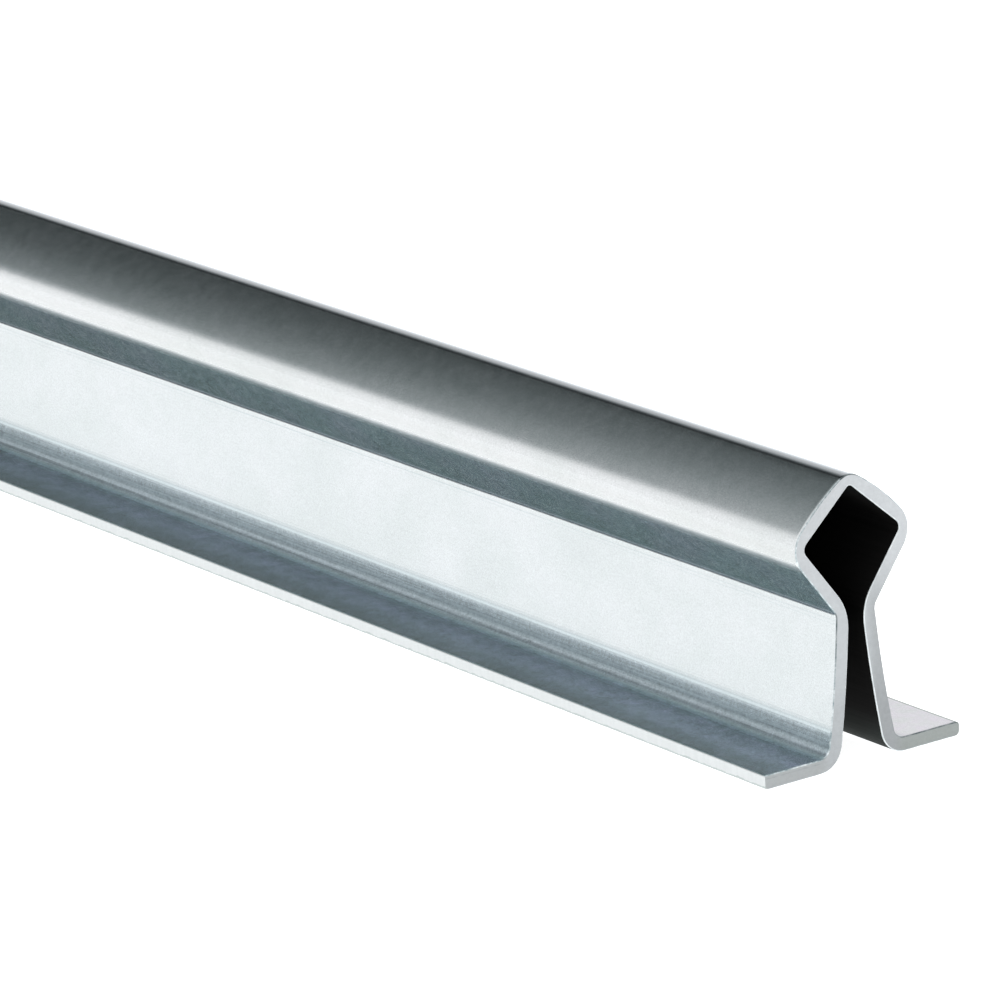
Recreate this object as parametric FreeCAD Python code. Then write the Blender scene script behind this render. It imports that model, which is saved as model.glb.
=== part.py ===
import FreeCAD, Part
import math
import os

# V-groove gate track: one length of cold roll-formed galvanised strip.
# Section, seen along the rail: a diamond-shaped running head whose top is the
# V ridge that a grooved gate wheel rides on, a pinched neck, two legs that
# splay outwards and two outward foot flanges that lie flat on the ground.
# The head's upper flanks are slightly crowned on the outside and the legs bow
# a little towards each other, as the rolls leave them.
# Frame: X along the rail, Z up, Y across. The origin is at mid length, on the
# centre plane, level with the underside of the foot flanges.

# ---- driving dimensions (mm) ----
LENGTH = 3000.0          # stock length of one rail
SHEET_T = 2.5            # strip thickness of the legs and foot flanges
FLANK_T = 1.85           # wall of the upper flank at its two ends
FLANK_CROWN = 0.75       # how far the flank's outside stands proud at its middle
LOWER_T = 2.35           # wall of the lower flank
BASE_W = 40.4            # overall width over the two foot flanges
APEX_Z = 47.9            # inside corner of the ridge, before rounding
SHOULDER_Y = 10.15       # inside corner at the widest part of the head
SHOULDER_Z = 38.8
NECK_Y = 1.30            # inside corner at the pinched neck
NECK_Z = 26.8
FOOT_Y = 4.75            # underside corner between leg and foot flange
LEG_BOW = 0.35           # how far each leg bows inwards at its middle

# bend radii, inside face of the section (towards the hollow)
R_APEX_IN = 0.8
R_SHOULDER_IN = 1.5
R_NECK_IN = 9.0
R_FOOT_IN = 4.7
# bend radii, outside face of the section
R_APEX_OUT = 3.2
R_SHOULDER_OUT = 5.0
R_NECK_OUT = 2.2
R_FOOT_OUT = 2.1
# corners of the slit edges: the slitter leaves the -Y edge crisp on top, and the +Y edge rolled over
R_SLIT_TOP_R = 0.25
R_SLIT_BOTTOM_R = 0.7
R_SLIT_TOP_L = 0.8
R_SLIT_BOTTOM_L = 1.1


def vec(p):
    return FreeCAD.Vector(0.0, p[0], p[1])


def sub(a, b):
    return (a[0] - b[0], a[1] - b[1])


def unit(a):
    n = math.hypot(a[0], a[1])
    return (a[0] / n, a[1] / n)


def cross_point(p, d, q, e):
    """Point where the line p + s*d meets the line q + s*e."""
    det = d[0] * (-e[1]) + e[0] * d[1]
    s = ((q[0] - p[0]) * (-e[1]) + e[0] * (q[1] - p[1])) / det
    return (p[0] + s * d[0], p[1] + s * d[1])


def offset_line(p, q, t):
    """The line p-q moved t to its left: a point on it and its direction."""
    d = unit(sub(q, p))
    return (p[0] - d[1] * t, p[1] + d[0] * t), d


def bowed(p, q, h, places):
    """Points between p and q on a flat curve that stands h to the left of the chord at its middle."""
    d = unit(sub(q, p))
    out = []
    for t in places:
        k = 4.0 * h * t * (1.0 - t)
        out.append((p[0] + (q[0] - p[0]) * t - d[1] * k,
                    p[1] + (q[1] - p[1]) * t + d[0] * k))
    return out


def turn_at(p, q, r):
    d1, d2 = unit(sub(p, q)), unit(sub(r, q))
    return math.acos(max(-1.0, min(1.0, d1[0] * d2[0] + d1[1] * d2[1])))


def chain(corners):
    """corners: (point, radius) or (point, None, run) where the arc's tangent run is given instead."""
    pts = [c[0] for c in corners]
    rad = []
    for i, c in enumerate(corners):
        if c[1] is not None:
            rad.append(c[1])
        else:
            rad.append(c[2] * math.tan(turn_at(pts[i - 1], pts[i], pts[i + 1]) / 2.0))
    return pts, rad


def rounded_loop(points, radii):
    """Closed loop of straight runs with a tangent arc at each corner."""
    n = len(points)
    corners = []
    for i in range(n):
        p, q, r = points[i - 1], points[i], points[(i + 1) % n]
        d1, d2 = unit(sub(p, q)), unit(sub(r, q))
        ang = turn_at(p, q, r)
        run = radii[i] / math.tan(ang / 2.0)
        a = (q[0] + d1[0] * run, q[1] + d1[1] * run)
        b = (q[0] + d2[0] * run, q[1] + d2[1] * run)
        bis = unit((d1[0] + d2[0], d1[1] + d2[1]))
        k = radii[i] / math.sin(ang / 2.0) - radii[i]
        m = (q[0] + bis[0] * k, q[1] + bis[1] * k)
        corners.append((a, m, b))
    edges = []
    for i in range(n):
        a, m, b = corners[i]
        edges.append(Part.Arc(vec(a), vec(m), vec(b)).toShape())
        nxt = corners[(i + 1) % n][0]
        gap = math.hypot(nxt[0] - b[0], nxt[1] - b[1])
        if gap > 1e-6:
            edges.append(Part.LineSegment(vec(b), vec(nxt)).toShape())
    return Part.Wire(edges)


def mirror(points):
    return [(-p[0], p[1]) for p in points]


# inside corners, +Y half, from the ridge down to the slit edge
apex = (0.0, APEX_Z)
shoulder = (SHOULDER_Y, SHOULDER_Z)
neck = (NECK_Y, NECK_Z)
foot = (FOOT_Y, 0.0)
edge = (BASE_W / 2.0, 0.0)

# outside corners: every wall is its thickness away from its inside face
up_p, up_d = offset_line(apex, shoulder, FLANK_T)
low_p, low_d = offset_line(shoulder, neck, LOWER_T)
leg_p, leg_d = offset_line(neck, foot, SHEET_T)
flg_p, flg_d = offset_line(foot, edge, SHEET_T)
apex_o = cross_point(up_p, up_d, (0.0, 0.0), (0.0, 1.0))
shoulder_o = cross_point(up_p, up_d, low_p, low_d)
neck_o = cross_point(low_p, low_d, leg_p, leg_d)
foot_o = cross_point(leg_p, leg_d, flg_p, flg_d)
edge_o = (BASE_W / 2.0, SHEET_T)

FLANK_AT = (0.32, 0.58)          # where the crowned flank turns
LEG_AT = (0.35, 0.65)            # where the bowed leg turns
flank_mid = bowed(apex_o, shoulder_o, FLANK_CROWN, FLANK_AT)
leg_mid_o = bowed(neck_o, foot_o, -LEG_BOW, LEG_AT)
leg_mid_i = bowed(neck, foot, -LEG_BOW, LEG_AT)

outer_pts = [apex_o] + flank_mid + [shoulder_o, neck_o] + leg_mid_o + [foot_o, edge_o]
inner_pts = [edge, foot] + leg_mid_i[::-1] + [neck, shoulder, apex]


def arc_radius(p, q, r, run):
    """Radius of the arc at q whose tangent run is given."""
    return run * math.tan(turn_at(p, q, r) / 2.0)


r_f1 = arc_radius(apex_o, flank_mid[0], flank_mid[1], 2.2)
r_f2 = arc_radius(flank_mid[0], flank_mid[1], shoulder_o, 2.2)
r_lo1 = arc_radius(neck_o, leg_mid_o[0], leg_mid_o[1], 3.3)
r_lo2 = arc_radius(leg_mid_o[0], leg_mid_o[1], foot_o, 3.3)
r_li1 = arc_radius(neck, leg_mid_i[0], leg_mid_i[1], 3.3)
r_li2 = arc_radius(leg_mid_i[0], leg_mid_i[1], foot, 3.3)
outer_rad = [R_APEX_OUT, r_f1, r_f2, R_SHOULDER_OUT, R_NECK_OUT, r_lo1, r_lo2, R_FOOT_OUT]
inner_rad = [R_FOOT_IN, r_li2, r_li1, R_NECK_IN, R_SHOULDER_IN, R_APEX_IN]

half = outer_pts + inner_pts
half_r = outer_rad + [R_SLIT_TOP_L, R_SLIT_BOTTOM_L] + inner_rad
# the other half is walked back from under the ridge to the outside of it
other = mirror(inner_pts[::-1][1:]) + mirror(outer_pts[::-1][:-1])
other_r = inner_rad[::-1][1:] + [R_SLIT_BOTTOM_R, R_SLIT_TOP_R] + outer_rad[::-1][:-1]

loop = rounded_loop(half + other, half_r + other_r)
section = Part.Face(loop)
rail = section.extrude(FreeCAD.Vector(LENGTH, 0.0, 0.0))
rail.translate(FreeCAD.Vector(-LENGTH / 2.0, 0.0, 0.0))

os.makedirs("parts", exist_ok=True)
rail.exportStep("parts/gate_track.step")

bb = rail.BoundBox
print("gate_track", rail.ShapeType, "valid", rail.isValid(), "solids", len(rail.Solids), "faces", len(rail.Faces))
print("size", round(bb.XLength, 3), round(bb.YLength, 3), round(bb.ZLength, 3))
print("section area mm2", round(section.Area, 3),
      "volume error", round(rail.Volume - section.Area * LENGTH, 3))
print("mass kg at 7850", round(rail.Volume * 7850e-9, 3))
print("outside corners", [(round(p[0], 2), round(p[1], 2)) for p in outer_pts])
head = [v.Point.y for v in rail.Vertexes if v.Point.z > 30]
print("head width at its vertices", round(max(head) - min(head), 2))
print("long radii", [round(r, 1) for r in (r_f1, r_f2, r_lo1, r_lo2, r_li1, r_li2)])
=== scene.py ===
import math

import bmesh
import bpy
import numpy as np
from mathutils import Matrix, Vector


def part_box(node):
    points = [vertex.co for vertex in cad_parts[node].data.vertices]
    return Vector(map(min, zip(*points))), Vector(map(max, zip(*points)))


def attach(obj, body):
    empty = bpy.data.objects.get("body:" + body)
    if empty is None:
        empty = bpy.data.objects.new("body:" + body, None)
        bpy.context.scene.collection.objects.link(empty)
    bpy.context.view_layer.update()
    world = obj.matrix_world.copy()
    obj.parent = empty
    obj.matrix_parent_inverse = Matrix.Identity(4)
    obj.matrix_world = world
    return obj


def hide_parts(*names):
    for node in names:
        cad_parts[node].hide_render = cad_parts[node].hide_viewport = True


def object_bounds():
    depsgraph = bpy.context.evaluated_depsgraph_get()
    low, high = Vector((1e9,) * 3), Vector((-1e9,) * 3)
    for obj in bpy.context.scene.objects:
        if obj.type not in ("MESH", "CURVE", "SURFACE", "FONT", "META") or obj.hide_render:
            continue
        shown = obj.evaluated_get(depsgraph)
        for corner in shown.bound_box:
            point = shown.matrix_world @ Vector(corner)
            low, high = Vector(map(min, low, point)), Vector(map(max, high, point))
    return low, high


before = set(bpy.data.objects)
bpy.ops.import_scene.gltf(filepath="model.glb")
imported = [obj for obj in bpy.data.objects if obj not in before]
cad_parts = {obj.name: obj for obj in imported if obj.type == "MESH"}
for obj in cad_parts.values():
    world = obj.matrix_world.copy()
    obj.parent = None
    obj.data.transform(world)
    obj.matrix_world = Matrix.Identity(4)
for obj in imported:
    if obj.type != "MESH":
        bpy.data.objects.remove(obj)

CAD_LO, CAD_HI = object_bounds()
CAD_LO, CAD_HI = list(CAD_LO), list(CAD_HI)
NODE = "gate_track"
LO, HI = [list(v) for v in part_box(NODE)]
MM = 0.001
HALF_L = HI[0]                       # the sawn ends stand at x = +-HALF_L

# ---------------------------------------------------------------- section
# The strip's section in millimetres: y across, z up, origin at the bed.
T = 2.5
FLANK_T, FLANK_CROWN, LOWER_T, LEG_BOW = 1.85, 0.75, 2.35, 0.35
BASE = (HI[1] - LO[1]) / MM
APEX = (0.0, 47.9)
SHOULDER = (10.15, 38.8)
NECK = (1.30, 26.8)
FOOT = (4.75, 0.0)
EDGE = (BASE / 2.0, 0.0)
R_IN = dict(apex=0.8, shoulder=1.5, neck=9.0, foot=4.7)
R_OUT = dict(apex=3.2, shoulder=5.0, neck=2.2, foot=2.1)
SLIT_CORNERS = {-1: (0.25, 0.7), 1: (0.8, 1.1)}    # top and bottom of the slit edge on the -Y and +Y sides


def unit(v):
    return v / np.linalg.norm(v)


def left(v):
    return np.array([-v[1], v[0]])


def cross_point(p, d, q, e):
    s = np.linalg.solve(np.array([d, -e]).T, q - p)
    return p + s[0] * d


def bowed(p, q, h, places):
    d = unit(q - p)
    return [p + (q - p) * t + left(d) * 4.0 * h * t * (1.0 - t) for t in places]


def turn_at(p, q, r):
    return math.acos(np.clip(unit(p - q) @ unit(r - q), -1, 1))


STEP = 0.03


def dense(points, radii, names):
    """Walks an open chain of corners that starts on the centre plane. Gives closely spaced points and, for each
    named corner, the path length where its arc starts and ends."""
    pts, keys = [], {}
    length = 0.0

    def put(p):
        nonlocal length
        if pts:
            length += np.linalg.norm(p - pts[-1])
        pts.append(p)

    first = points[0]
    mirror_pt = points[1] * np.array([-1.0, 1.0])
    for i in range(len(points)):
        q = points[i]
        p = mirror_pt if i == 0 else points[i - 1]
        if i == len(points) - 1:
            put(q)
            break
        r = points[i + 1]
        ang = turn_at(p, q, r)
        rad = radii[i]
        run = rad / math.tan(ang / 2)
        d1, d2 = unit(p - q), unit(r - q)
        a0, b0 = q + d1 * run, q + d2 * run
        m = q + unit(d1 + d2) * rad / math.sin(ang / 2)
        va, vb = a0 - m, b0 - m
        th = math.acos(np.clip(va @ vb / rad / rad, -1, 1))
        sg = math.copysign(1, va[0] * vb[1] - va[1] * vb[0])
        k0 = 0.5 if i == 0 else 0.0
        if i > 0:
            n = max(1, int(np.linalg.norm(a0 - pts[-1]) / STEP))
            start = pts[-1]
            for k in range(1, n):
                put(start + (a0 - start) * k / n)
        n = max(6, int(rad * th * (1 - k0) / STEP))
        for k in range(n + 1):
            t = sg * th * (k0 + (1 - k0) * k / n)
            put(m + np.array([va[0] * math.cos(t) - va[1] * math.sin(t), va[0] * math.sin(t) + va[1] * math.cos(t)]))
            if k == 0:
                s0 = length
        keys[names[i]] = (s0, length)
    keys["end"] = (length, length)
    return np.array(pts), keys


def smooth(p, sigma, weight):
    """Softens the change of curvature where weight is 1, by a Gaussian along the path."""
    n = int(3 * sigma / STEP)
    k = np.exp(-0.5 * (np.arange(-n, n + 1) * STEP / sigma) ** 2)
    k /= k.sum()
    pad = np.vstack([p[1:n + 1][::-1] * np.array([-1, 1]), p, np.repeat(p[-1:], n, 0)])
    q = np.c_[np.convolve(pad[:, 0], k, "valid"), np.convolve(pad[:, 1], k, "valid")]
    return p * (1 - weight[:, None]) + q * weight[:, None]


inner_c = [np.array(p) for p in (APEX, SHOULDER, NECK, FOOT, EDGE)]
lines = []
for (p, q), th_ in zip(zip(inner_c[:-1], inner_c[1:]), (FLANK_T, LOWER_T, T, T)):
    d = unit(q - p)
    lines.append((p + left(d) * th_, d))
outer_c = [cross_point(lines[0][0], lines[0][1], np.zeros(2), np.array([0.0, 1.0]))]
for (p, d), (q, e) in zip(lines[:-1], lines[1:]):
    outer_c.append(cross_point(p, d, q, e))
outer_c.append(np.array([EDGE[0], T]))

fl = bowed(outer_c[0], outer_c[1], FLANK_CROWN, (0.32, 0.58))
lo_ = bowed(outer_c[2], outer_c[3], -LEG_BOW, (0.35, 0.65))
li_ = bowed(inner_c[2], inner_c[3], -LEG_BOW, (0.35, 0.65))


def run_radius(p, q, r, run):
    return run * math.tan(turn_at(p, q, r) / 2)


def half_paths(top, bottom):
    mid_slit = np.array([EDGE[0], (bottom + T - top) / 2])
    o_pts = [outer_c[0], fl[0], fl[1], outer_c[1], outer_c[2], lo_[0], lo_[1], outer_c[3], outer_c[4], mid_slit]
    o_rad = [R_OUT["apex"], run_radius(outer_c[0], fl[0], fl[1], 2.2), run_radius(fl[0], fl[1], outer_c[1], 2.2),
             R_OUT["shoulder"], R_OUT["neck"], run_radius(outer_c[2], lo_[0], lo_[1], 3.3),
             run_radius(lo_[0], lo_[1], outer_c[3], 3.3), R_OUT["foot"], top]
    o_names = ["apex", "f1", "f2", "shoulder", "neck", "l1", "l2", "foot", "slit"]
    i_pts = [inner_c[0], inner_c[1], inner_c[2], li_[0], li_[1], inner_c[3], inner_c[4], mid_slit]
    i_rad = [R_IN["apex"], R_IN["shoulder"], R_IN["neck"], run_radius(inner_c[2], li_[0], li_[1], 3.3),
             run_radius(li_[0], li_[1], inner_c[3], 3.3), R_IN["foot"], bottom]
    i_names = ["apex", "shoulder", "neck", "l1", "l2", "foot", "slit"]
    o_dense, o_keys = dense(o_pts, o_rad, o_names)
    i_dense, i_keys = dense(i_pts, i_rad, i_names)
    so = path_length(o_dense)
    w_head = 1.0 - step01(so, o_keys["shoulder"][1] + 0.6, o_keys["shoulder"][1] + 1.6)
    w_leg = step01(so, o_keys["neck"][1] + 0.8, o_keys["neck"][1] + 2.0)
    w_leg = w_leg * (1 - step01(so, o_keys["foot"][0] - 1.2, o_keys["foot"][0] - 0.2))
    return smooth(o_dense, 0.9, np.clip(w_head * 0.6 + w_leg, 0, 1)), o_keys, i_dense, i_keys


def path_length(p):
    return np.concatenate([[0.0], np.cumsum(np.linalg.norm(np.diff(p, axis=0), axis=1))])


def step01(x, a, b):
    t = np.clip((x - a) / (b - a), 0, 1)
    return t * t * (3 - 2 * t)


COUNTS = [("ridge", 9), ("flank", 30), ("shoulder", 18), ("lower", 12), ("neck", 8), ("leg", 34), ("foot", 14),
          ("flange", 14), ("slit", 5), ("cut", 1)]


def keyed(keys, total):
    return [0.0, keys["apex"][1], keys["shoulder"][0], keys["shoulder"][1], keys["neck"][0], keys["neck"][1],
            keys["foot"][0], keys["foot"][1], keys["slit"][0], keys["slit"][1], total]


def resample(p, keys):
    s = path_length(p)
    want = [0.0]
    marks = keyed(keys, s[-1])
    for (name, n), a, b in zip(COUNTS, marks[:-1], marks[1:]):
        want += list(a + (b - a) * np.arange(1, n + 1) / n)
    want = np.minimum(np.array(want), s[-1])
    t = np.gradient(p, axis=0)
    nrm = np.c_[-t[:, 1], t[:, 0]]
    nrm /= np.linalg.norm(nrm, axis=1)[:, None]
    q = np.c_[np.interp(want, s, p[:, 0]), np.interp(want, s, p[:, 1])]
    m = np.c_[np.interp(want, s, nrm[:, 0]), np.interp(want, s, nrm[:, 1])]
    return q, m / np.linalg.norm(m, axis=1)[:, None], want


halves = {}
for side, (top, bottom) in SLIT_CORNERS.items():
    o_dense, o_keys, i_dense, i_keys = half_paths(top, bottom)
    outer_h, on_h, s_out = resample(o_dense, o_keys)
    inner_h, in_h, s_in = resample(i_dense, i_keys)
    outer_h[0, 0] = inner_h[0, 0] = 0.0
    on_h[0], in_h[0] = (0.0, 1.0), (0.0, 1.0)
    on_h[-1] = (1.0, 0.0)
    in_h[-1] = (-1.0, 0.0)
    halves[side] = (outer_h, on_h, s_out, inner_h, in_h, s_in)
n_half = len(outer_h)
MIR = np.array([-1.0, 1.0])


def both(k):
    return np.vstack([(halves[-1][k] * MIR)[::-1][:-1], halves[1][k]])


# the last point of each half path is the same point, the middle of the slit face, so the inside path drops it
outer, nrm_out = both(0), both(1)
inner, nrm_in = both(3), -both(4)
n_path = len(outer)
S_OUT = np.concatenate([-halves[-1][2][::-1][:-1], halves[1][2]])
S_IN = np.concatenate([-halves[-1][5][::-1][:-1], halves[1][5]])
print("strip half length outside", s_out[-1], "inside", s_in[-1])

# the closed loop of one station: outside left to right, then inside back without its two ends
loop_yz = np.vstack([outer, inner[::-1][1:-1]])
loop_n = np.vstack([nrm_out, nrm_in[::-1][1:-1]])
loop_s = np.concatenate([S_OUT, S_IN[::-1][1:-1]])
n_loop = len(loop_yz)
n_in = n_path - 2
loop_side = np.concatenate([np.zeros(n_path), np.ones(n_in)])   # 0 outside, 1 inside
SLIT_N = COUNTS[-2][1] + COUNTS[-1][1]     # rungs of the slit corner on each face
NECK_S = sum(o_keys["neck"]) / 2
FOOT_S = sum(o_keys["foot"]) / 2
FOOT_A, FOOT_B = o_keys["foot"]
SHOULDER_A, SHOULDER_B = o_keys["shoulder"]
SLIT_S = o_keys["slit"][0]
INNER_FOOT_B = i_keys["foot"][1]
print("keys", {k: (round(a, 2), round(b, 2)) for k, (a, b) in o_keys.items()})

# ---------------------------------------------------------------- stations
# The edge break of a sawn and deburred end, then stations that widen away from it.
BREAK = 0.18                          # mm
ring = [(0.0, BREAK), (BREAK * 0.3, BREAK * 0.3), (BREAK, 0.0)]     # (back from the end, inset)
xs = [0.6, 1.6, 3.5, 7.0, 12.0]
while xs[-1] < 360.0:
    xs.append(xs[-1] + 16.0)
while xs[-1] < HALF_L / MM - 30.0:
    xs.append(xs[-1] + 40.0)
half_st = [(b, i) for b, i in ring] + [(x, 0.0) for x in xs]
stations = [(HALF_L / MM - b, i) for b, i in half_st]
stations += [(-x, i) for x, i in reversed(stations)]
stations = np.array(stations)


def section_at(x, inset):
    return loop_yz - loop_n * inset


rng = np.random.default_rng(7)
ph = rng.uniform(0, 2 * math.pi, 12)


def relief(x):
    """Cold-rolled strip is never optically flat: waves of some hundredths of a millimetre along the legs and flanks."""
    a_ = np.abs(loop_s)
    sg = np.sign(loop_s)
    leg = np.exp(-((a_ - (NECK_S + FOOT_S) / 2) / 8.0) ** 2)
    flank = np.exp(-((a_ - 9.0) / 4.0) ** 2)
    w = leg * (0.010 * math.sin(x / 31.0 + ph[0]) + 0.012 * math.sin(x / 71.0 + ph[2]))
    w = w + leg * sg * 0.006 * math.sin(x / 23.0 + ph[3])
    w = w + flank * (0.010 * math.sin(x / 47.0 + ph[4]) + 0.005 * math.sin(x / 19.0 + ph[5]))
    return w


verts, svals, sides = [], [], []
for x, inset in stations:
    yz = section_at(x, inset)
    w = relief(x) * (1 if inset == 0 else 0)
    fade = min(1.0, max(0.0, (HALF_L / MM - abs(x)) / 12.0))
    yz = yz + loop_n * (w * fade)[:, None] * np.where(loop_side == 0, 1, 0)[:, None] \
            - loop_n * (w * fade)[:, None] * np.where(loop_side == 1, 1, 0)[:, None]
    yz[:, 1] = np.maximum(yz[:, 1], 0.0)
    for p, s, sd in zip(yz, loop_s, loop_side):
        verts.append((x * MM, p[0] * MM, p[1] * MM))
        svals.append(s)
        sides.append(sd)
n_st = len(stations)

faces, mat_of = [], []


def face_material(i):
    """0 outside, 1 inside the hollow, 2 slit edge; the flanges' undersides are plain sheet like the outside."""
    if i < n_path - 1:
        return 2 if (i < SLIT_N or i >= n_path - 1 - SLIT_N) else 0
    q = i - (n_path - 1)                    # steps back along the inside path from the +Y slit
    if q < SLIT_N or q >= n_path - 1 - SLIT_N:
        return 2
    return 1 if abs(loop_s[i]) < INNER_FOOT_B - 2.2 else 0


for k in range(n_st - 1):
    a0, b0 = k * n_loop, (k + 1) * n_loop
    for i in range(n_loop):
        j = (i + 1) % n_loop
        faces.append((a0 + i, a0 + j, b0 + j, b0 + i))
        m = face_material(i)
        if k in (0, 1, n_st - 3, n_st - 2) and m != 2:
            m = 4 if i < n_path - 1 else 5      # the deburred edges of the sawn ends
        mat_of.append(m)


def inner_index(i):
    """The loop's index of the inside path's point opposite outside point i."""
    if i == 0 or i == n_path - 1:
        return i
    return n_path + (n_path - 1 - i) - 1


# sawn ends: a ladder from the outside path to the inside path
for k, flip in ((0, False), (n_st - 1, True)):
    a0 = k * n_loop
    for i in range(n_path - 1):
        f = [a0 + i, a0 + inner_index(i), a0 + inner_index(i + 1), a0 + i + 1]
        f = [v for n, v in enumerate(f) if v not in f[:n]]
        faces.append(tuple(f if flip else f[::-1]))
        mat_of.append(3)

mesh = bpy.data.meshes.new("gate_track_rail")
mesh.from_pydata(verts, [], faces)
mesh.update()
rail = bpy.data.objects.new("gate_track_rail", mesh)
bpy.context.scene.collection.objects.link(rail)

bm = bmesh.new()
bm.from_mesh(mesh)
bmesh.ops.recalc_face_normals(bm, faces=bm.faces)
bm.to_mesh(mesh)
bm.free()
at = mesh.attributes.new("across", "FLOAT", "POINT")
at.data.foreach_set("value", np.array(svals, dtype=np.float32))
for p in mesh.polygons:
    p.use_smooth = True
sharp = mesh.attributes.new("sharp_edge", "BOOLEAN", "EDGE")
# the sawn face's outline is a crisp edge
cut = {0, n_st - 1}
flags = []
for e in mesh.edges:
    a, b = e.vertices
    ka, kb = a // n_loop, b // n_loop
    flags.append(ka == kb and ka in cut)
sharp.data.foreach_set("value", flags)
mesh.polygons.foreach_set("material_index", np.array(mat_of, dtype=np.int32))
print("faces", len(faces), "verts", len(verts), "stations", n_st)


# ---------------------------------------------------------------- materials
class Tree:
    def __init__(self, name):
        self.mat = bpy.data.materials.new(name)
        self.mat.use_nodes = True
        self.nt = self.mat.node_tree
        self.nt.nodes.clear()
        self.out = self.nt.nodes.new("ShaderNodeOutputMaterial")

    def node(self, kind, **kw):
        n = self.nt.nodes.new(kind)
        for k, v in kw.items():
            setattr(n, k, v)
        return n

    def link(self, a, b):
        self.nt.links.new(a, b)

    def feed(self, sock, v):
        if v is None:
            return
        if isinstance(v, bpy.types.NodeSocket):
            self.link(v, sock)
        else:
            sock.default_value = v

    def math(self, op, a, b=None, c=None, clamp=False):
        n = self.node("ShaderNodeMath", operation=op, use_clamp=clamp)
        self.feed(n.inputs[0], a)
        self.feed(n.inputs[1], b)
        self.feed(n.inputs[2], c)
        return n.outputs[0]

    def add(self, a, b): return self.math("ADD", a, b)
    def mul(self, a, b): return self.math("MULTIPLY", a, b)
    def sub(self, a, b): return self.math("SUBTRACT", a, b)

    def remap(self, v, a, b, c, d, smooth=False):
        n = self.node("ShaderNodeMapRange")
        n.interpolation_type = "SMOOTHSTEP" if smooth else "LINEAR"
        n.clamp = True
        self.feed(n.inputs["Value"], v)
        for k, x in zip(("From Min", "From Max", "To Min", "To Max"), (a, b, c, d)):
            self.feed(n.inputs[k], x)
        return n.outputs[0]

    def mix(self, f, a, b):
        n = self.node("ShaderNodeMix", data_type="RGBA")
        self.feed(n.inputs[0], f)
        self.feed(n.inputs[6], a)
        self.feed(n.inputs[7], b)
        return n.outputs[2]

    def times(self, col, k):
        """A colour times a number."""
        n = self.node("ShaderNodeVectorMath", operation="SCALE")
        self.feed(n.inputs[0], col)
        self.feed(n.inputs["Scale"], k)
        return n.outputs[0]

    def tint(self, f, col, by):
        """col where f is 0, col times by where f is 1."""
        n = self.node("ShaderNodeMix", data_type="RGBA", blend_type="MULTIPLY")
        self.feed(n.inputs[0], f)
        self.feed(n.inputs[6], col)
        self.feed(n.inputs[7], (*by, 1.0))
        return n.outputs[2]

    def ramp(self, v, stops, interp="LINEAR"):
        n = self.node("ShaderNodeValToRGB")
        cr = n.color_ramp
        cr.interpolation = interp
        while len(cr.elements) > 1:
            cr.elements.remove(cr.elements[-1])
        for k, (pos, col) in enumerate(stops):
            e = cr.elements[0] if k == 0 else cr.elements.new(pos)
            e.position = pos
            if not hasattr(col, "__len__"):
                col = (col, col, col)
            e.color = (*col, 1.0)
        self.feed(n.inputs[0], v)
        return n.outputs[0]

    def combine(self, x, y, z):
        n = self.node("ShaderNodeCombineXYZ")
        for s, v in zip(n.inputs, (x, y, z)):
            self.feed(s, v)
        return n.outputs[0]

    def separate(self, v):
        n = self.node("ShaderNodeSeparateXYZ")
        self.link(v, n.inputs[0])
        return n.outputs

    def noise(self, vec, scale, detail=2.0, rough=0.5, dims="3D", dist=0.0):
        n = self.node("ShaderNodeTexNoise", noise_dimensions=dims)
        self.feed(n.inputs["Vector"], vec)
        n.inputs["Scale"].default_value = scale
        n.inputs["Detail"].default_value = detail
        n.inputs["Roughness"].default_value = rough
        n.inputs["Distortion"].default_value = dist
        return n.outputs[0]

    def bump(self, height, dist, strength=1.0, normal=None):
        n = self.node("ShaderNodeBump")
        n.inputs["Strength"].default_value = strength
        n.inputs["Distance"].default_value = dist
        self.link(height, n.inputs["Height"])
        if normal is not None:
            self.link(normal, n.inputs["Normal"])
        return n.outputs[0]


def position_mm(t):
    """The point's place in the part's frame, in millimetres."""
    c = t.node("ShaderNodeTexCoord")
    m = t.node("ShaderNodeVectorMath", operation="SCALE")
    t.link(c.outputs["Object"], m.inputs[0])
    m.inputs["Scale"].default_value = 1000.0
    return m.outputs[0]


def across_mm(t):
    a = t.node("ShaderNodeAttribute", attribute_type="GEOMETRY", attribute_name="across")
    return a.outputs["Fac"]


def band(t, v, lo, hi, soft):
    """1 where v lies between lo and hi, with soft sides."""
    return t.mul(t.remap(v, lo - soft, lo + soft, 0.0, 1.0, True), t.remap(v, hi - soft, hi + soft, 1.0, 0.0, True))


def scaled(c, k):
    return (c[0] * k, c[1] * k, c[2] * k, 1.0)
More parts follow.
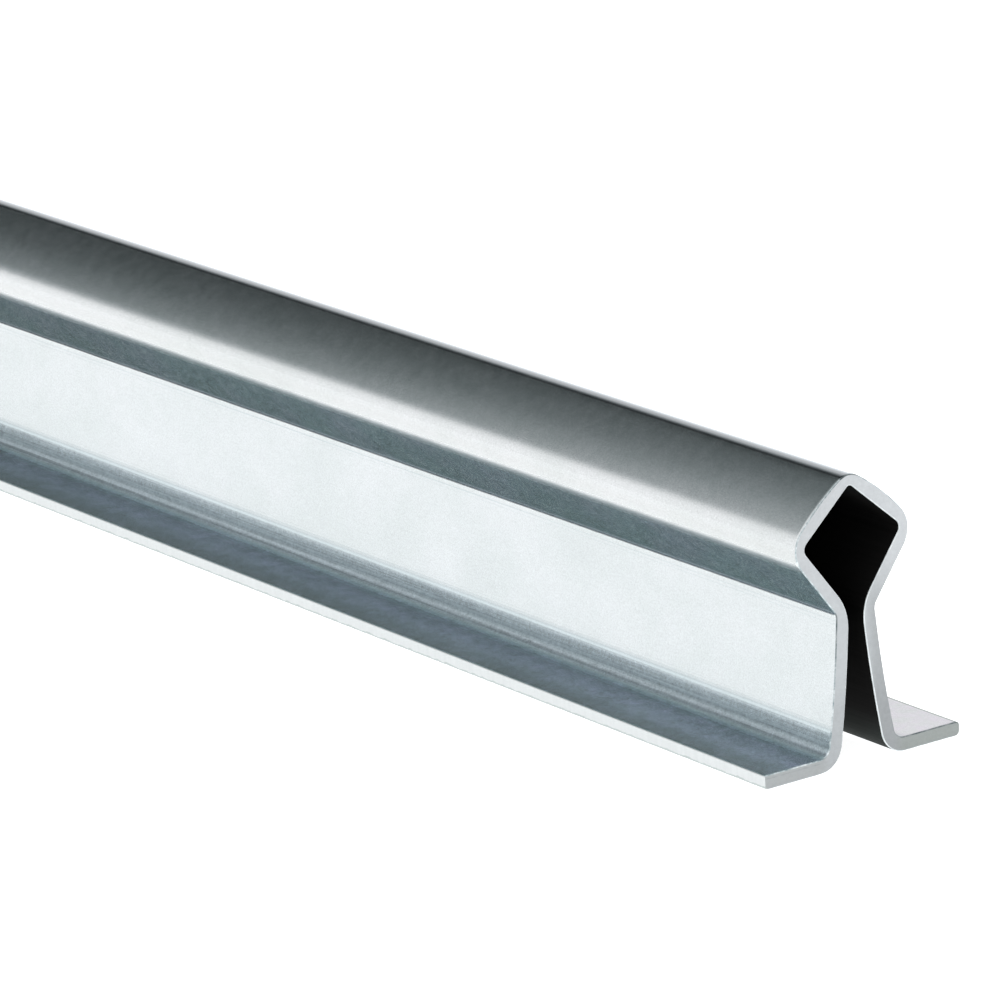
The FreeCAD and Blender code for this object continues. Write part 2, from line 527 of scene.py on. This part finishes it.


# How bright the zinc is across the strip: millimetres from the ridge, and colour. Partly the zinc's own tone, dull on
# the ridge, and partly painted light tuned to each band's brightness under this light: painted highlights at the
# shoulder (18.9) and in the crease under the head (30.5), painted shade at the foot bend and towards the slit edge.
ZONES_WITH_PAINTED_LIGHT = [(0.0, (0.575, 0.600, 0.612)), (15.0, (0.555, 0.573, 0.583)), (17.2, (0.560, 0.574, 0.577)),
         (18.3, (0.592, 0.607, 0.611)), (18.9, (0.880, 0.900, 0.905)), (19.6, (0.700, 0.745, 0.750)),
         (20.2, (0.515, 0.570, 0.572)), (21.6, (0.485, 0.545, 0.545)), (28.6, (0.555, 0.650, 0.630)),
         (30.2, (0.480, 0.600, 0.585)), (30.5, (0.735, 0.765, 0.770)), (31.2, (0.640, 0.668, 0.675)),
         (31.8, (0.553, 0.580, 0.592)), (49.8, (0.558, 0.588, 0.600)), (50.5, (0.455, 0.497, 0.515)),
         (51.05, (0.525, 0.590, 0.617)), (51.25, (0.310, 0.355, 0.380)), (52.0, (0.228, 0.270, 0.293)),
         (53.0, (0.232, 0.278, 0.298)), (53.8, (0.190, 0.232, 0.254)), (54.4, (0.410, 0.475, 0.512)),
         (54.9, (0.303, 0.345, 0.385)), (55.5, (0.335, 0.384, 0.420)), (56.3, (0.555, 0.675, 0.730)),
         (57.4, (0.475, 0.565, 0.615)), (59.0, (0.465, 0.538, 0.622)), (61.0, (0.375, 0.450, 0.540)),
         (63.0, (0.280, 0.360, 0.418)), (65.0, (0.182, 0.253, 0.285)), (66.6, (0.178, 0.238, 0.260)),
         (67.2, (0.205, 0.255, 0.275))]
# The ridge itself, from -1.7 to 1.7 mm, painted light: painted shade from -1.7 to -0.3 mm and a painted highlight
# brightest near 1.15 mm.
CREST_WITH_PAINTED_LIGHT = [(-1.7, (0.230, 0.243, 0.258)), (-0.3, (0.262, 0.280, 0.300)), (0.1, (0.365, 0.398, 0.432)),
         (0.6, (0.550, 0.610, 0.680)), (1.15, (0.690, 0.765, 0.830)), (1.4, (0.640, 0.690, 0.730)),
         (1.7, (0.575, 0.600, 0.612))]
SPAN = 69.0


def zinc(name):
    t = Tree(name)
    p = position_mm(t)
    x, y, z = t.separate(p)
    s = across_mm(t)
    sa = t.math("ABSOLUTE", s)
    flat = t.combine(x, s, 0.0)
    # roll streaks: long along the rail, fine across the strip
    streak = t.noise(t.combine(t.mul(x, 0.008), t.mul(s, 2.4), 0.0), 1.0, 3.0, 0.65)
    hair = t.noise(t.combine(t.mul(x, 0.030), t.mul(s, 8.0), 7.0), 1.0, 2.0, 0.6)
    cloud = t.noise(t.combine(t.mul(x, 0.8), s, 3.0), 0.075, 3.0, 0.55)
    mottle = t.noise(t.combine(x, s, 9.0), 0.34, 4.0, 0.62)
    frost = t.noise(t.combine(x, s, 17.0), 1.5, 2.0, 0.65)
    grain = t.noise(t.combine(x, s, 23.0), 3.6, 1.0, 0.6)
    # zones across the strip
    foot = band(t, sa, 51.2, 55.8, 0.25)
    flange = t.remap(sa, 55.4, 57.0, 0.0, 1.0, True)
    under = band(t, sa, 20.4, 30.3, 0.5)                # underside of the head
    shade = band(t, sa, 18.6, 20.8, 0.5)
    quiet = t.remap(sa, 17.0, 31.0, 0.0, 1.0, True)      # the head was rolled smoother than the legs
    far = t.mul(t.remap(s, 54.5, 56.5, 0.0, 1.0, True), t.remap(s, 66.0, 68.0, 1.0, 0.85, True))
    col = t.ramp(t.math("DIVIDE", sa, SPAN), [(q / SPAN, c) for q, c in ZONES_WITH_PAINTED_LIGHT])
    ridge = t.ramp(t.remap(s, -1.7, 1.7, 0.0, 1.0), [((q + 1.7) / 3.4, c) for q, c in CREST_WITH_PAINTED_LIGHT])
    col = t.mix(t.mul(t.remap(s, -1.8, -1.6, 0.0, 1.0), t.remap(s, 1.5, 1.7, 1.0, 0.0)), col, ridge)
    # painted light: the +Y flange takes one flat colour, tuned to the brightness it shows under this light, in place of
    # the zone colours
    col = t.mix(far, col, (0.447, 0.457, 0.472, 1))
    # the +Y flange's outer edge is darker along its corner
    col = t.mix(t.remap(s, 66.72, 66.92, 0.0, 1.0), col, (0.150, 0.185, 0.175, 1))
    # a few fine lines the rolls left, broken here and there
    broken = t.remap(streak, 0.38, 0.60, 0.25, 1.0)
    for place, half, depth in ((32.15, 0.09, 0.55), (32.75, 0.07, 0.30), (49.50, 0.05, 0.30), (50.02, 0.06, 0.45),
                               (50.55, 0.07, 0.60), (12.9, 0.05, 0.10)):
        line = t.mul(band(t, sa, place - half, place + half, 0.08), broken)
        col = t.tint(t.mul(line, depth), col, (0.66, 0.74, 0.76))
    # patches of warmer and greener zinc
    hue = t.mul(t.remap(mottle, 0.40, 0.66, 0.0, 1.0), t.add(t.mul(t.math("MAXIMUM", t.mul(under, 0.6), flange), 0.80), 0.05))
    col = t.tint(hue, col, (1.06, 0.975, 1.07))
    green = t.mul(t.remap(cloud, 0.62, 0.40, 0.0, 1.0), t.add(t.mul(under, 0.8), 0.12))
    col = t.tint(green, col, (0.93, 1.03, 0.965))
    # light and dark: streaks at the foot, clouds on the leg, frost on the dull zones, grain all over
    depth = t.add(t.add(t.mul(foot, 0.9), t.mul(flange, 0.10)), 0.03)
    v = t.mul(t.add(t.mul(t.sub(streak, 0.5), 0.9), t.mul(t.sub(hair, 0.5), 0.9)), depth)
    v = t.add(v, t.mul(t.sub(cloud, 0.5), t.add(t.mul(flange, 0.35), 0.16)))
    v = t.add(v, t.mul(t.sub(mottle, 0.5), t.add(t.mul(flange, 0.75), t.add(t.mul(under, 0.30), 0.06))))
    dull = t.math("MAXIMUM", t.math("MAXIMUM", under, flange), t.mul(foot, 0.8))
    v = t.add(v, t.mul(t.sub(frost, 0.5), t.add(t.mul(dull, 0.90), t.add(t.mul(under, 0.6), 0.12))))
    v = t.add(v, t.mul(t.sub(grain, 0.5), t.add(t.mul(dull, 0.70), t.add(t.mul(under, 0.6), 0.34))))
    v = t.mul(v, t.remap(far, 0.0, 1.0, 1.0, 0.18))
    col = t.times(col, t.add(v, 1.0))
    rough = t.remap(mottle, 0.3, 0.7, 0.165, 0.205)
    rough = t.add(rough, t.add(t.mul(band(t, sa, 52.8, 56.6, 0.6), 0.20), t.mul(shade, 0.14)))
    rough = t.add(rough, t.mul(flange, 0.04))
    rough = t.add(rough, t.mul(t.sub(grain, 0.5), 0.05))
    h1 = t.bump(t.mul(cloud, t.add(t.mul(quiet, 0.9), 0.1)), 0.00010, 1.0)
    bite = t.add(t.mul(foot, 0.8), 0.10)
    h2 = t.bump(t.mul(t.add(t.sub(streak, 0.5), t.mul(t.sub(hair, 0.5), 0.4)), bite), 0.000012, 1.0, h1)
    h3 = t.bump(t.mul(t.sub(frost, 0.5), t.mul(t.add(t.mul(dull, 1.0), 0.12), t.sub(1.0, t.mul(far, 0.8)))), 0.0000035, 1.0, h2)
    b = t.node("ShaderNodeBsdfPrincipled")
    t.feed(b.inputs["Base Color"], col)
    b.inputs["Metallic"].default_value = 1.0
    t.feed(b.inputs["Roughness"], rough)
    t.link(h3, b.inputs["Normal"])
    t.link(b.outputs[0], t.out.inputs[0])
    return t.mat


def edge_break(name, dark, light, along, rough):
    """The narrow deburred edge of a sawn end, painted as a thin line of light and shade: dark and light are painted
    shade and painted highlight, blended in patches along it. along is its painted brightness across the strip.
    """
    t = Tree(name)
    p = position_mm(t)
    s = across_mm(t)
    edge_patchiness = t.noise(p, 0.55, 3.0, 0.6)
    fine = t.noise(p, 3.0, 2.0, 0.6)
    col = t.mix(t.remap(t.add(t.mul(edge_patchiness, 0.7), t.mul(fine, 0.3)), 0.40, 0.64, 0.0, 1.0), (*dark, 1), (*light, 1))
    level = t.ramp(t.remap(s, -70.0, 70.0, 0.0, 1.0), [((q + 70.0) / 140.0, k / 3.0) for q, k in along])
    col = t.times(col, t.mul(level, 3.0))
    b = t.node("ShaderNodeBsdfPrincipled")
    t.feed(b.inputs["Base Color"], col)
    b.inputs["Metallic"].default_value = 1.0
    t.feed(b.inputs["Roughness"], t.remap(fine, 0.3, 0.7, rough, rough + 0.14))
    t.link(t.bump(fine, 0.00001, 1.0), b.inputs["Normal"])
    t.link(b.outputs[0], t.out.inputs[0])
    return t.mat


def inside(name):
    """The hollow's walls: painted shade, a dull near-black colour standing in for the unlit bore of a long rail,
    lighter above 24 mm, with a painted reflection glowing faintly below 8.6 mm.
    """
    t = Tree(name)
    p = position_mm(t)
    x, y, z = t.separate(p)
    s = across_mm(t)
    streak = t.noise(t.combine(t.mul(x, 0.012), t.mul(s, 2.2), 0.0), 1.0, 3.0, 0.6)
    cloud = t.noise(p, 0.12, 3.0, 0.6)
    col = t.mix(t.remap(streak, 0.35, 0.65, 0.0, 1.0), (0.0045, 0.0042, 0.0042, 1), (0.0085, 0.0080, 0.0080, 1))
    # painted shade: darker below 24 mm than above 32 mm
    col = t.times(col, t.remap(z, 24.0, 32.0, 0.42, 0.85, True))
    # painted reflection: a faint glow near the bottom of the hollow
    low = t.remap(z, 2.0, 8.6, 1.0, 0.0, True)
    col = t.mix(t.mul(low, t.remap(cloud, 0.3, 0.7, 0.8, 1.0)), col, (0.026, 0.0315, 0.0295, 1))
    b = t.node("ShaderNodeBsdfPrincipled")
    t.feed(b.inputs["Base Color"], col)
    b.inputs["Metallic"].default_value = 0.0
    t.feed(b.inputs["Roughness"], t.remap(streak, 0.35, 0.65, 0.60, 0.72))
    b.inputs["Specular IOR Level"].default_value = 0.08
    t.link(t.bump(streak, 0.00001, 1.0), b.inputs["Normal"])
    t.link(b.outputs[0], t.out.inputs[0])
    return t.mat


def sawn(name):
    t = Tree(name)
    p = position_mm(t)
    x, y, z = t.separate(p)
    lines = t.noise(t.combine(t.mul(y, 0.30), t.mul(z, 4.0), 0.0), 1.0, 2.0, 0.6)
    cloud = t.noise(p, 0.45, 2.0, 0.5)
    grain = t.noise(p, 5.0, 2.0, 0.7)
    soft = t.remap(cloud, 0.3, 0.7, 0, 1)
    col = t.mix(soft, (0.420, 0.440, 0.455, 1), (0.439, 0.461, 0.475, 1))
    # painted shade: the sawn face is darker towards the bottom and on its +Y side
    low = t.remap(z, 19.0, 8.0, 0.0, 1.0, True)
    far = t.remap(y, 1.0, 4.0, 0.0, 1.0, True)
    col = t.times(col, t.mul(t.sub(1.0, t.mul(low, 0.12)), t.sub(1.0, t.mul(far, 0.215))))
    # painted light: the head's part of the sawn face is lighter
    head = t.remap(z, 24.0, 36.0, 0.0, 1.0, True)
    col = t.mix(head, col, t.mix(soft, (0.454, 0.473, 0.488, 1), (0.476, 0.495, 0.510, 1)))
    # painted shade: the -Y flange's end is darker
    nfl = t.mul(t.remap(z, 2.2, 4.2, 1.0, 0.0, True), t.remap(y, -9.0, -6.5, 1.0, 0.0, True))
    col = t.mix(nfl, col, (0.346, 0.363, 0.369, 1))
    # the saw's burr, a ragged line under the near foot's upper edge
    burr = band(t, t.add(z, t.mul(t.sub(t.noise(t.combine(0.0, t.mul(y, 1.2), 0.0), 1.0, 3.0, 0.7), 0.5), 0.5)), 1.78, 1.96, 0.10)
    col = t.tint(t.mul(t.mul(burr, nfl), t.remap(t.noise(t.combine(3.0, t.mul(y, 0.9), 0.0), 1.0, 2.0, 0.6), 0.38, 0.6, 0.1, 0.8)), col, (0.72, 0.75, 0.75))
    # painted shade: the +Y flange's end is darker
    ffl = t.mul(t.remap(z, 2.2, 5.0, 1.0, 0.0, True), t.remap(y, 6.0, 9.0, 0.0, 1.0, True))
    col = t.mix(ffl, col, (0.287, 0.309, 0.302, 1))
    blot = t.noise(p, 1.3, 3.0, 0.65)
    v = t.add(t.mul(t.sub(blot, 0.5), 0.22), t.mul(t.sub(grain, 0.5), 0.26))
    v = t.add(v, t.mul(t.sub(lines, 0.5), 0.09))
    # painted light: the head's end is a little darker towards -Y and lighter towards +Y
    v = t.add(v, t.mul(head, t.remap(y, -9.0, 9.0, -0.03, 0.035)))
    col = t.times(col, t.add(v, 1.0))
    rough = t.remap(grain, 0.3, 0.7, 0.42, 0.55)
    h = t.bump(lines, 0.000006, 1.0)
    h = t.bump(grain, 0.000004, 1.0, h)
    b = t.node("ShaderNodeBsdfPrincipled")
    t.feed(b.inputs["Base Color"], col)
    b.inputs["Metallic"].default_value = 1.0
    t.feed(b.inputs["Roughness"], rough)
    t.link(h, b.inputs["Normal"])
    t.link(b.outputs[0], t.out.inputs[0])
    return t.mat


def slit(name):
    t = Tree(name)
    p = position_mm(t)
    x, y, z = t.separate(p)
    stri = t.noise(t.combine(t.mul(x, 1.3), 0.0, t.mul(z, 0.25)), 1.0, 3.0, 0.6)
    rag = t.noise(t.combine(t.mul(x, 0.35), 0.0, 4.0), 1.0, 3.0, 0.65)
    grain = t.noise(p, 4.0, 2.0, 0.7)
    col = t.mix(t.remap(stri, 0.3, 0.7, 0, 1), (0.566, 0.590, 0.596, 1), (0.612, 0.634, 0.640, 1))
    # the torn lower part of a slit edge
    torn = band(t, t.add(z, t.mul(t.sub(rag, 0.5), 1.3)), 0.28, 0.62, 0.14)
    col = t.mix(t.mul(torn, 0.75), col, (0.33, 0.39, 0.375, 1))
    # the rolled-over upper corner of the +Y edge is darker
    turned = t.mul(t.remap(across_mm(t), 66.0, 67.0, 0.0, 1.0), t.remap(z, 1.75, 2.05, 0.0, 1.0, True))
    col = t.mix(turned, col, (0.15, 0.185, 0.175, 1))
    b = t.node("ShaderNodeBsdfPrincipled")
    t.feed(b.inputs["Base Color"], col)
    b.inputs["Metallic"].default_value = 1.0
    t.feed(b.inputs["Roughness"], t.remap(grain, 0.3, 0.7, 0.30, 0.40))
    h = t.bump(stri, 0.00001, 1.0)
    h = t.bump(torn, 0.00006, 1.0, h)
    t.link(h, b.inputs["Normal"])
    t.link(b.outputs[0], t.out.inputs[0])
    return t.mat


for m in (zinc("galvanised_sheet"), inside("hollow_walls_painted_shade"), slit("slit_edge"), sawn("sawn_end"),
          # the outside edge break is a painted dark line with painted highlights along it; the inside edge break is a
          # painted bright rim
          edge_break("end_edge_outside_painted_light", (0.15, 0.185, 0.195), (0.42, 0.45, 0.46),
                     [(-68, 1.9), (-56, 1.9), (-52, 1.5), (-42, 1.3), (-36, 0.8), (-31.2, 0.6), (-30.2, 1.7), (-2.2, 1.8),
                      (-1.5, 0.7), (1.5, 0.7), (2.2, 1.6), (30, 1.6), (31, 0.8), (52, 0.9), (56, 0.7), (68, 0.7)], 0.28),
          edge_break("end_edge_inside_painted_highlight", (0.60, 0.64, 0.655), (0.84, 0.88, 0.89),
                     [(-68, 0.8), (-54, 0.9), (-44, 1.0), (68, 1.0)], 0.50)):
    mesh.materials.append(m)

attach(rail, "root")
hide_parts(NODE)

# ---------------------------------------------------------------- stage
floor_me = bpy.data.meshes.new("floor")
F = 400.0
floor_me.from_pydata([(-F, -F, 0), (F, -F, 0), (F, F, 0), (-F, F, 0)], [], [(0, 1, 2, 3)])
floor = bpy.data.objects.new("floor", floor_me)
bpy.context.scene.collection.objects.link(floor)
t = Tree("floor_white")
d = t.node("ShaderNodeBsdfDiffuse")
d.inputs[0].default_value = (0.62, 0.62, 0.62, 1)
e = t.node("ShaderNodeEmission")
e.inputs[0].default_value = (1, 1, 1, 1)
e.inputs[1].default_value = 0.93
a = t.node("ShaderNodeAddShader")
t.link(d.outputs[0], a.inputs[0])
t.link(e.outputs[0], a.inputs[1])
t.link(a.outputs[0], t.out.inputs[0])
floor_me.materials.append(t.mat)
floor.location.z = -0.00002

# ---------------------------------------------------------------- light
world = bpy.data.worlds.new("studio")
bpy.context.scene.world = world
world.use_nodes = True
w = Tree.__new__(Tree)
w.nt = world.node_tree
w.nt.nodes.clear()
w.out = w.nt.nodes.new("ShaderNodeOutputWorld")
tc = w.node("ShaderNodeTexCoord")
wx, wy, wz = w.separate(tc.outputs["Generated"])
# Long light banks run beside the rail, with a dark gap overhead. The level follows the angle about the rail's axis,
# from 0 at the horizon on its -Y side to 180 on the other, and the gap narrows slowly along the rail.
turn = w.mul(w.math("ARCTAN2", wz, w.mul(wy, -1.0)), 180.0 / math.pi)
shift = w.math("MINIMUM", w.math("MAXIMUM", w.add(wx, 0.816), -0.08), 0.12)
# (the gap's far side, which only the ridge mirrors, does not move)
turn = w.sub(turn, w.mul(w.mul(shift, 212.0), w.remap(turn, 82.0, 98.0, 1.0, 0.0)))
LEVELS = [(0, 1.44), (12, 1.42), (26, 1.34), (34, 1.08), (40, 0.74), (45, 0.565), (50, 0.472), (55, 0.418), (59, 0.354),
          (62.5, 0.283), (66, 0.222), (69, 0.19), (72, 0.166), (75, 0.139), (78, 0.106), (81, 0.080), (84, 0.068), (98, 0.060),
          (108, 0.08), (117, 0.60), (125, 1.25), (145, 1.34), (180, 1.36)]
DARK = (0.865, 1.015, 1.035)              # the unlit gap is a little green
SC = 2.5
stops = []
for deg, lv in LEVELS:
    k = min(1.0, max(0.0, (lv - 0.1) / 0.9))
    stops.append((deg / 180.0, tuple(lv / SC * (d + (1.0 - d) * k) for d in DARK)))
ramp = w.ramp(w.math("DIVIDE", w.math("MAXIMUM", turn, 0.0), 180.0), stops)
# across the rail, away from those low angles along it, the room is evenly bright
open_ = w.remap(w.math("ABSOLUTE", wx), 0.34, 0.60, 1.0, 0.0, True)
ramp = w.mix(w.mul(open_, 0.85), ramp, (1.15 / SC, 1.16 / SC, 1.17 / SC, 1))
bg = w.node("ShaderNodeBackground")
w.link(ramp, bg.inputs[0])
bg.inputs[1].default_value = SC
w.link(bg.outputs[0], w.out.inputs[0])

# ---------------------------------------------------------------- camera
AZ, EL, ROLL, FPX, DIST, U0, V0 = 56.809, 16.198, -3.741, 6901.914, 1138.12, 863.404, 762.631
a, e = math.radians(AZ), math.radians(EL)
back = Vector((math.sin(a) * math.cos(e), -math.cos(a) * math.cos(e), math.sin(e)))
right = Vector((math.cos(a), math.sin(a), 0.0))
up = back.cross(right)
r = math.radians(ROLL)
right, up = right * math.cos(r) + up * math.sin(r), up * math.cos(r) - right * math.sin(r)
T3 = Vector(((U0 - 500) * DIST / FPX, -(V0 - 500) * DIST / FPX, -DIST)) * MM
R = Matrix((right, up, back))
centre = -(R.transposed() @ T3) + Vector((HALF_L, 0.0, 0.0))
cam_data = bpy.data.cameras.new("camera")
cam_data.sensor_width = 36.0
cam_data.lens = FPX / 1000.0 * 36.0
cam_data.clip_start, cam_data.clip_end = 0.05, 200.0
cam = bpy.data.objects.new("camera", cam_data)
bpy.context.scene.collection.objects.link(cam)
M = R.transposed().to_4x4()
M.translation = centre
cam.matrix_world = M
bpy.context.scene.camera = cam
bpy.context.scene.view_settings.view_transform = "Standard"
bpy.context.scene.view_settings.look = "None"
